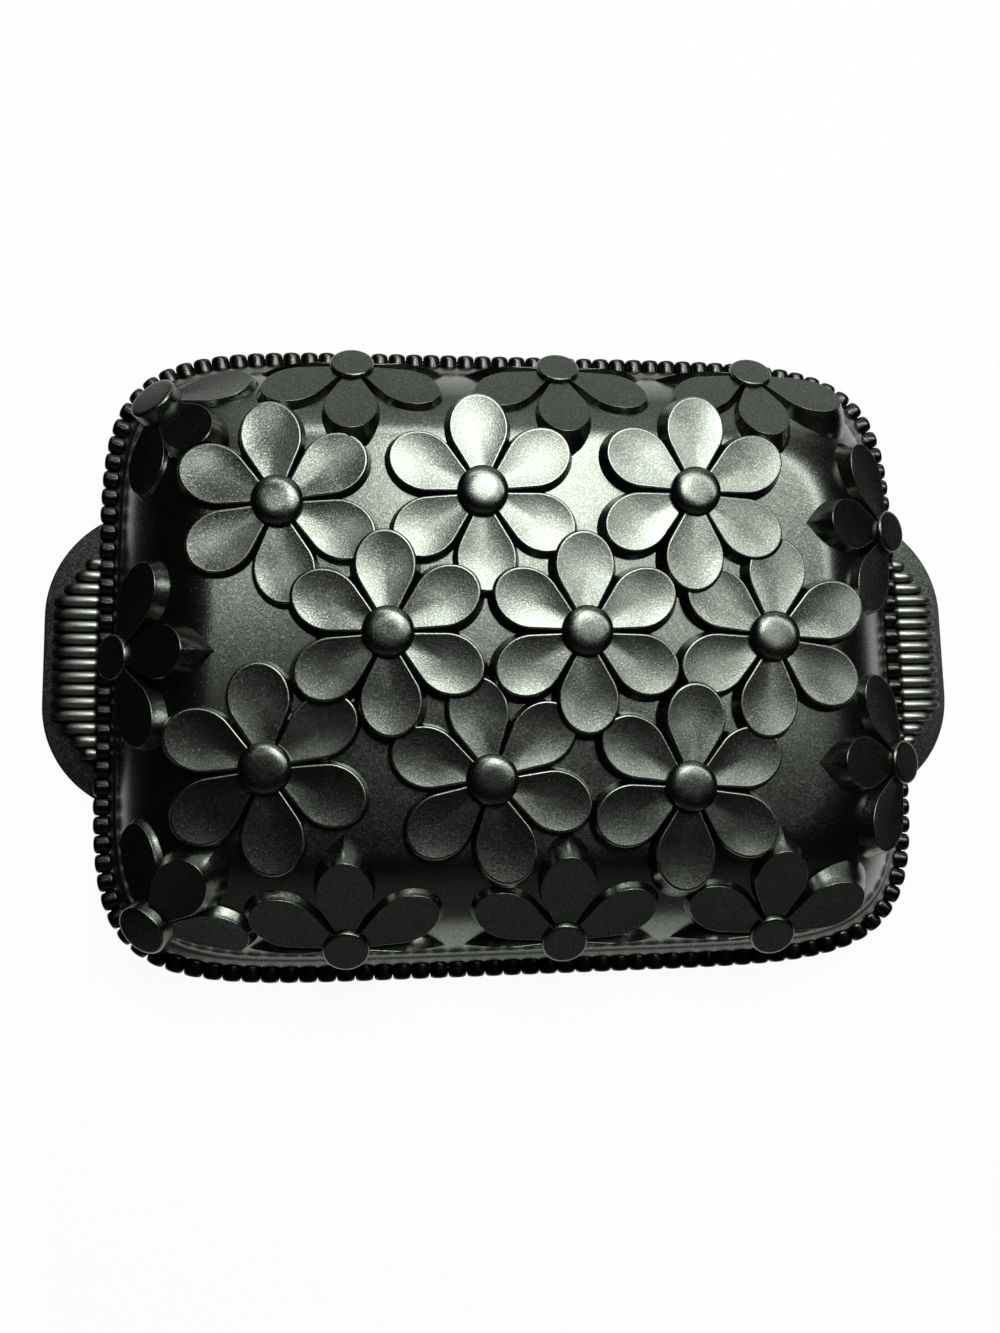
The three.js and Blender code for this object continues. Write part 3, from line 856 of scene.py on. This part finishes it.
desk, given = new_tree("row of beads", BEAD_INPUTS)
walk = desk.node("GeometryNodeCurveToPoints", {"mode": "COUNT"}, {
    "Curve": given["Geometry"],
    "Count": given["Bead count"],
})
tangent = Wire(desk.tree, walk.socket.node.outputs["Tangent"])
outward = desk.node("ShaderNodeVectorMath", {"operation": "CROSS_PRODUCT"}, {0: tangent, 1: (0, 0, 1)})
axes = {"axis": "X", "pivot_axis": "Z"}
facing = desk.node("FunctionNodeAlignRotationToVector", axes, {"Vector": outward})
size = desk.node("ShaderNodeCombineXYZ", None, {
    0: given["Bead length"],
    1: given["Bead half width"],
    2: given["Bead height"],
})
bead = desk.node("GeometryNodeTransform", None, {
    "Geometry": rounded_bar(desk, inner=0.72, blunt=0.8, fill=0.5),
    "Translation": (-BEAD_INNER_PART, 0, 0),
})
beads = desk.node("GeometryNodeInstanceOnPoints", None, {
    "Points": walk,
    "Instance": bead,
    "Rotation": facing,
    "Scale": size,
})
section = desk.node("GeometryNodeCurvePrimitiveCircle", {"mode": "RADIUS"}, {
    "Resolution": 10,
    "Radius": given["Cord radius"],
})
cord = desk.node("GeometryNodeCurveToMesh", None, {"Curve": given["Geometry"], "Profile Curve": section})
joined = desk.node("GeometryNodeJoinGeometry", None, {"Geometry": [beads, cord]})
finish_tree(desk, joined, given["Coat"])

path = bpy.data.curves.new("bead path", "CURVE")
path.dimensions = "3D"
line = path.splines.new("POLY")
bead_line = oval(BEAD_PATH, PATH_STEPS)
line.points.add(len(bead_line) - 1)
for point, place in zip(line.points, bead_line):
    point.co = (place[0], place[1], BEAD_LEVEL, 1.0)
line.use_cyclic_u = True
bead_mesh = grown_mesh(desk.tree, BEAD_INPUTS, path)
add_piece("row_of_beads", bead_mesh, "beaded_rim")

# %% [markdown]
# ## The handles
# At each end a flat tab grows out of the flange: a straight outer edge between two large rounds. It is
# a flat shape with softened edges, so its outline is drawn, lifted to its thickness and its rims
# bevelled. Its inner side follows the flange.

# %% Make the handle tabs
HANDLE_TIP = HALF_LENGTH + FLANGE_WIDTH + 22.5 * mm
HANDLE_HALF = 16 * mm
HANDLE_ROUND = 40 * mm
HANDLE_THICKNESS = 3.5 * mm
HANDLE_LAP = 0.4 * mm
HANDLE_BEVEL = 0.8 * mm


def handle_outline():
    """Outline of the right-hand tab, anticlockwise."""
    turn = np.linspace(-math.pi / 2, 0, 40)
    circle = np.stack((np.cos(turn), np.sin(turn)), 1)
    lower = circle * HANDLE_ROUND + (HANDLE_TIP - HANDLE_ROUND, -HANDLE_HALF)
    inner = FLANGE_WIDTH - HANDLE_LAP
    lower = lower[oval_share(lower[:, 0], lower[:, 1], inner) > 1]
    outer = np.concatenate((lower, lower[::-1] * (1, -1)))
    rim = oval(inner, 720)
    rim = rim[(rim[:, 0] > 0) & (np.abs(rim[:, 1]) < lower[0][1] * -1)]
    return np.concatenate((outer, rim[np.argsort(-rim[:, 1])]))


for side, turn in (("right", 0), ("left", math.pi)):
    work = bmesh.new()
    outline = [work.verts.new((x, y, 0)) for x, y in handle_outline()]
    plate = work.faces.new(outline)
    lifted = bmesh.ops.extrude_face_region(work, geom=[plate])["geom"]
    for item in lifted:
        if isinstance(item, bmesh.types.BMVert):
            item.co.z = HANDLE_THICKNESS
    bmesh.ops.recalc_face_normals(work, faces=work.faces)
    rims = [rim for rim in work.edges if abs(rim.verts[0].co.z - rim.verts[1].co.z) < 0.01 * mm]
    bmesh.ops.bevel(work, geom=rims, offset=HANDLE_BEVEL, segments=3, profile=0.5, affect="EDGES")
    bmesh.ops.rotate(work, verts=work.verts, matrix=Matrix.Rotation(turn, 3, "Z"))
    mesh = bpy.data.meshes.new("handle_tab_" + side)
    work.to_mesh(mesh)
    work.free()
    mesh.materials.append(tab_coat)
    add_piece("handle_tab_" + side, mesh, "handle_" + side)

# %% [markdown]
# ## The grips
# Sixteen ribs run across each tab, so that a gloved hand doesn't slip. They stop short of the edge,
# fall away at their outer ends and get shorter towards the ends of the grip. Their crests are painted a
# lighter grey as a highlight, and their grooves and outer ends are painted dark as shade. Again one
# shape repeats, so Geometry Nodes lay one rounded bar on a line of points and stretch it by where it lies.

# %% Geometry Nodes for the ribs
RIB_START = HALF_LENGTH + 5.4 * mm
RIB_LENGTH = 18.4 * mm
RIB_STRAIGHT = 20.5 * mm
RIB_TAPER = 0.8
RIB_LEVEL = HANDLE_THICKNESS - 0.1 * mm
RIB_INPUTS = (
    ("Rib count", "NodeSocketInt", 16),
    ("Rib pitch", "NodeSocketFloat", 4.56 * mm),
    ("Rib half width", "NodeSocketFloat", 2.28 * mm),
    ("Rib height", "NodeSocketFloat", 5.9 * mm),
    ("Rib start", "NodeSocketFloat", RIB_START),
    ("Rib length", "NodeSocketFloat", RIB_LENGTH),
    ("Straight half", "NodeSocketFloat", RIB_STRAIGHT),
    ("Taper", "NodeSocketFloat", RIB_TAPER),
    ("Turn", "NodeSocketFloat", 0.0),
    ("Coat", "NodeSocketMaterial", painted_rib_coat),
)
# Between these heights the rib crests are painted lighter as a highlight; the outer ends are left dark as
# painted shade.
CREST_HIGHLIGHT_FROM = HANDLE_THICKNESS + 4.4 * mm
CREST_HIGHLIGHT_FULLY = HANDLE_THICKNESS + 5.5 * mm
SHADED_END = 2.8 * mm
SHADED_END_FADE = 2 * mm
desk, given = new_tree("row of ribs", RIB_INPUTS)
first = (given["Rib count"] - 1.0) * given["Rib pitch"] * -0.5
start = desk.node("ShaderNodeCombineXYZ", None, {0: given["Rib start"], 1: first, 2: RIB_LEVEL})
step = desk.node("ShaderNodeCombineXYZ", None, {1: given["Rib pitch"]})
row = desk.node("GeometryNodeMeshLine", {"mode": "OFFSET"}, {
    "Count": given["Rib count"],
    "Start Location": start,
    "Offset": step,
})
at = desk.node("GeometryNodeInputPosition")
aside = desk.maths("ABSOLUTE", desk.node("ShaderNodeSeparateXYZ", None, {0: at}, out=1))
short = desk.maths("MAXIMUM", aside - given["Straight half"], 0.0) * given["Taper"]
size = desk.node("ShaderNodeCombineXYZ", None, {
    0: given["Rib length"] - short,
    1: given["Rib half width"],
    2: given["Rib height"],
})
ribs = desk.node("GeometryNodeInstanceOnPoints", None, {
    "Points": row,
    "Instance": rounded_bar(desk, inner=0.5, blunt=0.15, fill=0.6),
    "Scale": size,
})
turned = desk.node("ShaderNodeCombineXYZ", None, {2: given["Turn"]})
ribs = desk.node("GeometryNodeTransform", None, {"Geometry": ribs, "Rotation": turned})
finish_tree(desk, ribs, given["Coat"])

for side, turn in (("right", 0.0), ("left", math.pi)):
    inputs = [(title, kind, turn if title == "Turn" else value) for title, kind, value in RIB_INPUTS]
    rib_mesh = grown_mesh(desk.tree, inputs, bpy.data.meshes.new("rib line"))
    out, aside, height = np.abs([vertex.co[:] for vertex in rib_mesh.vertices]).T
    rib_end = RIB_START + RIB_LENGTH - RIB_TAPER * np.maximum(aside - RIB_STRAIGHT, 0)
    # Painted highlight on the rib crests, faded out towards the outer ends, which stay dark as painted
    # shade.
    crest_highlight = np.clip((height - CREST_HIGHLIGHT_FROM) / (CREST_HIGHLIGHT_FULLY - CREST_HIGHLIGHT_FROM), 0, 1)
    crest_highlight = crest_highlight * np.clip((rib_end - SHADED_END - out) / SHADED_END_FADE, 0, 1)
    rib_mesh.attributes.new("wear", "FLOAT", "POINT").data.foreach_set("value", crest_highlight)
    add_piece("grip_" + side, rib_mesh, "grip_ribs_" + side)

# %% [markdown]
# ## Coat every piece and tie it to the frame
# Each piece rides on the pan's one body, stands for its own node and takes the finish of the record's
# one material slot.

# %% Coat and tie
for node, piece in pieces.items():
    if not piece.data.materials:
        piece.data.materials.append(coat)
    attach(piece, "root")
    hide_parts(node)
print("pieces tied to the frame:", len(pieces))

# %% [markdown]
# ## The floor
# The pan lies on a white sheet, and the picture round it is white as well. Plain white paper under the
# lamps would come out grey at its edges, so the floor glows white for the camera, while the coat
# mirrors only the sheet itself, which fades to dark beyond its edges.

# %% Floor
SHEET_MIDDLE = (0.05, 0.0)
SHEET_HALF = (0.202, 0.3)
SHEET_FADE = (0.03, 0.25)
FLOOR_HALF = 2
FLOOR_LEVEL = -0.4 * mm
floor_material = bpy.data.materials.new("white floor")
floor_material.use_nodes = True
tree = floor_material.node_tree
tree.nodes.clear()
desk = Wire(tree)
rays = desk.node("ShaderNodeLightPath", out="Is Camera Ray")
glossy = Wire(tree, rays.socket.node.outputs["Is Glossy Ray"])
through = Wire(tree, rays.socket.node.outputs["Is Transmission Ray"])
place = desk.node("ShaderNodeTexCoord", out="Object")
sheet = 1.0
for axis, (middle, half, fade) in enumerate(zip(SHEET_MIDDLE, SHEET_HALF, SHEET_FADE)):
    aside = desk.maths("ABSOLUTE", desk.node("ShaderNodeSeparateXYZ", None, {0: place}, out=axis) - middle)
    sheet = sheet * (1.0 - aside.ramp(half, half + fade))
seen = desk.maths("MINIMUM", rays + (glossy + through) * sheet, 1.0)
tone = desk.node("ShaderNodeMix", {"data_type": "RGBA"}, {
    "Factor": sheet,
    6: (0.03, 0.03, 0.03, 1.0),
    7: (0.9, 0.9, 0.9, 1.0),
}, out=2)
paper = desk.node("ShaderNodeBsdfDiffuse", None, {"Color": tone})
white = desk.node("ShaderNodeEmission", None, {"Color": (1.0, 1.0, 1.0, 1.0), "Strength": 1.0})
both = desk.node("ShaderNodeMixShader", None, {0: seen * (0.985 - 0.035 * sheet), 1: paper, 2: white})
desk.node("ShaderNodeOutputMaterial", None, {"Surface": both})

floor_mesh = bpy.data.meshes.new("floor")
ways = ((-1, -1), (1, -1), (1, 1), (-1, 1))
corners = [(x * FLOOR_HALF, y * FLOOR_HALF, FLOOR_LEVEL) for x, y in ways]
floor_mesh.from_pydata(corners, [], [(0, 1, 2, 3)])
floor_mesh.materials.append(floor_material)
floor = bpy.data.objects.new("floor", floor_mesh)
bpy.context.scene.collection.objects.link(floor)
print("floor laid")

# %% [markdown]
# ## Light
# The strongest of seven soft lamps hang towards the far side and silver the petals that mirror them. A
# faint one fills the middle, and three with narrow beams light the left shoulder and the two grips.
# The room is dark, a little lighter beyond the far side, so the shoulders fall to black. One lamp or
# an even sky would be simpler, but a dark coat shows what it mirrors rather than how much light falls
# on it.

# %% Lamps and the dark room
def soft_lamp(name, place, target, width, depth, watts, beam):
    """A rectangular lamp that shines at a target, in a beam so many degrees wide."""
    data = bpy.data.lights.new(name, "AREA")
    data.shape = "RECTANGLE"
    data.size = width
    data.size_y = depth
    data.energy = watts
    data.spread = math.radians(beam)
    lamp = bpy.data.objects.new(name, data)
    lamp.location = place
    lamp.rotation_euler = (Vector(target) - Vector(place)).to_track_quat("-Z", "Y").to_euler()
    bpy.context.scene.collection.objects.link(lamp)


PAN_MIDDLE = (0.0, 0.0, 0.0)
FAR_LEFT = (-0.14, 0.045, 0.04)
LEFT_OF_GRIP = (-0.19, 0.0, 0.0)
RIGHT_OF_GRIP = (0.19, 0.0, 0.0)
# Name, place, target, width and depth in metres, watts, and beam in degrees
LAMPS = (
    ("soft lamp over the far side", (0.072, 0.3, 0.7), PAN_MIDDLE, 0.23, 0.21, 1.87, 180),
    ("soft lamp over the right", (0.241, 0.15, 0.65), PAN_MIDDLE, 0.28, 0.12, 0.4, 180),
    ("wide lamp beyond the far side", (0.3, 0.58, 0.9), PAN_MIDDLE, 1.5, 0.2, 6.2, 180),
    ("faint lamp over the far left", (-0.21, 0.2, 0.8), FAR_LEFT, 0.16, 0.08, 0.0038, 16),
    ("faint lamp over the middle", (0.07, 0.14, 0.7), PAN_MIDDLE, 0.12, 0.08, 0.09, 180),
    ("small lamp over the left grip", (-0.43, 0.35, 0.8), LEFT_OF_GRIP, 0.2, 0.2, 0.0037, 13),
    ("small lamp over the right grip", (0.57, 0.3, 0.65), RIGHT_OF_GRIP, 0.2, 0.12, 0.0042, 13),
)
for lamp in LAMPS:
    soft_lamp(*lamp)

world = bpy.data.worlds.new("dark room")
bpy.context.scene.world = world
world.use_nodes = True
tree = world.node_tree
tree.nodes.clear()
desk = Wire(tree)
direction = desk.node("ShaderNodeTexCoord", out="Generated")
far_part = desk.node("ShaderNodeSeparateXYZ", None, {0: direction}, out=1)
side_part = desk.node("ShaderNodeSeparateXYZ", None, {0: direction}, out=0)
far_band = far_part.ramp(0.62, 0.84) * 0.75 - far_part.ramp(0.84, 0.98) * 0.15
far_glow = far_band * side_part.ramp(-0.55, -0.3)
sky = far_glow + (0.0 - far_part).ramp(0.45, 1.0) * 0.1 + 0.008
rays = desk.node("ShaderNodeLightPath", out="Is Camera Ray")
sky = sky * (1.0 - rays) + rays
room = desk.node("ShaderNodeBackground", None, {"Color": (1.0, 1.0, 1.0, 1.0), "Strength": sky})
desk.node("ShaderNodeOutputWorld", None, {"Surface": room})
print("lamps:", [light.name for light in bpy.data.lights])

# %% [markdown]
# ## Camera
# The camera stands over the near left part of the pan, as in the photograph. Its place, its two
# directions and its lens were worked out from the rim and the handles.

# %% Camera
CAMERA_PLACE = (-44.4 * mm, -47.2 * mm, 376 * mm)
look = Vector((0.104, 0.115, -0.988)).normalized()
right = Vector((0.995, -0.020, 0.103))
right = (right - look * right.dot(look)).normalized()
up = right.cross(look)
lens = bpy.data.cameras.new("camera")
lens.sensor_fit = "HORIZONTAL"
lens.sensor_width = 36
lens.lens = 36.18
lens.clip_start = 0.01
camera = bpy.data.objects.new("camera", lens)
turned = Matrix((right, up, -look)).transposed().to_4x4()
camera.matrix_world = Matrix.Translation(CAMERA_PLACE) @ turned
bpy.context.scene.collection.objects.link(camera)
bpy.context.scene.camera = camera
bpy.context.scene.view_settings.view_transform = "Standard"
print("camera at", [round(value, 3) for value in camera.location])
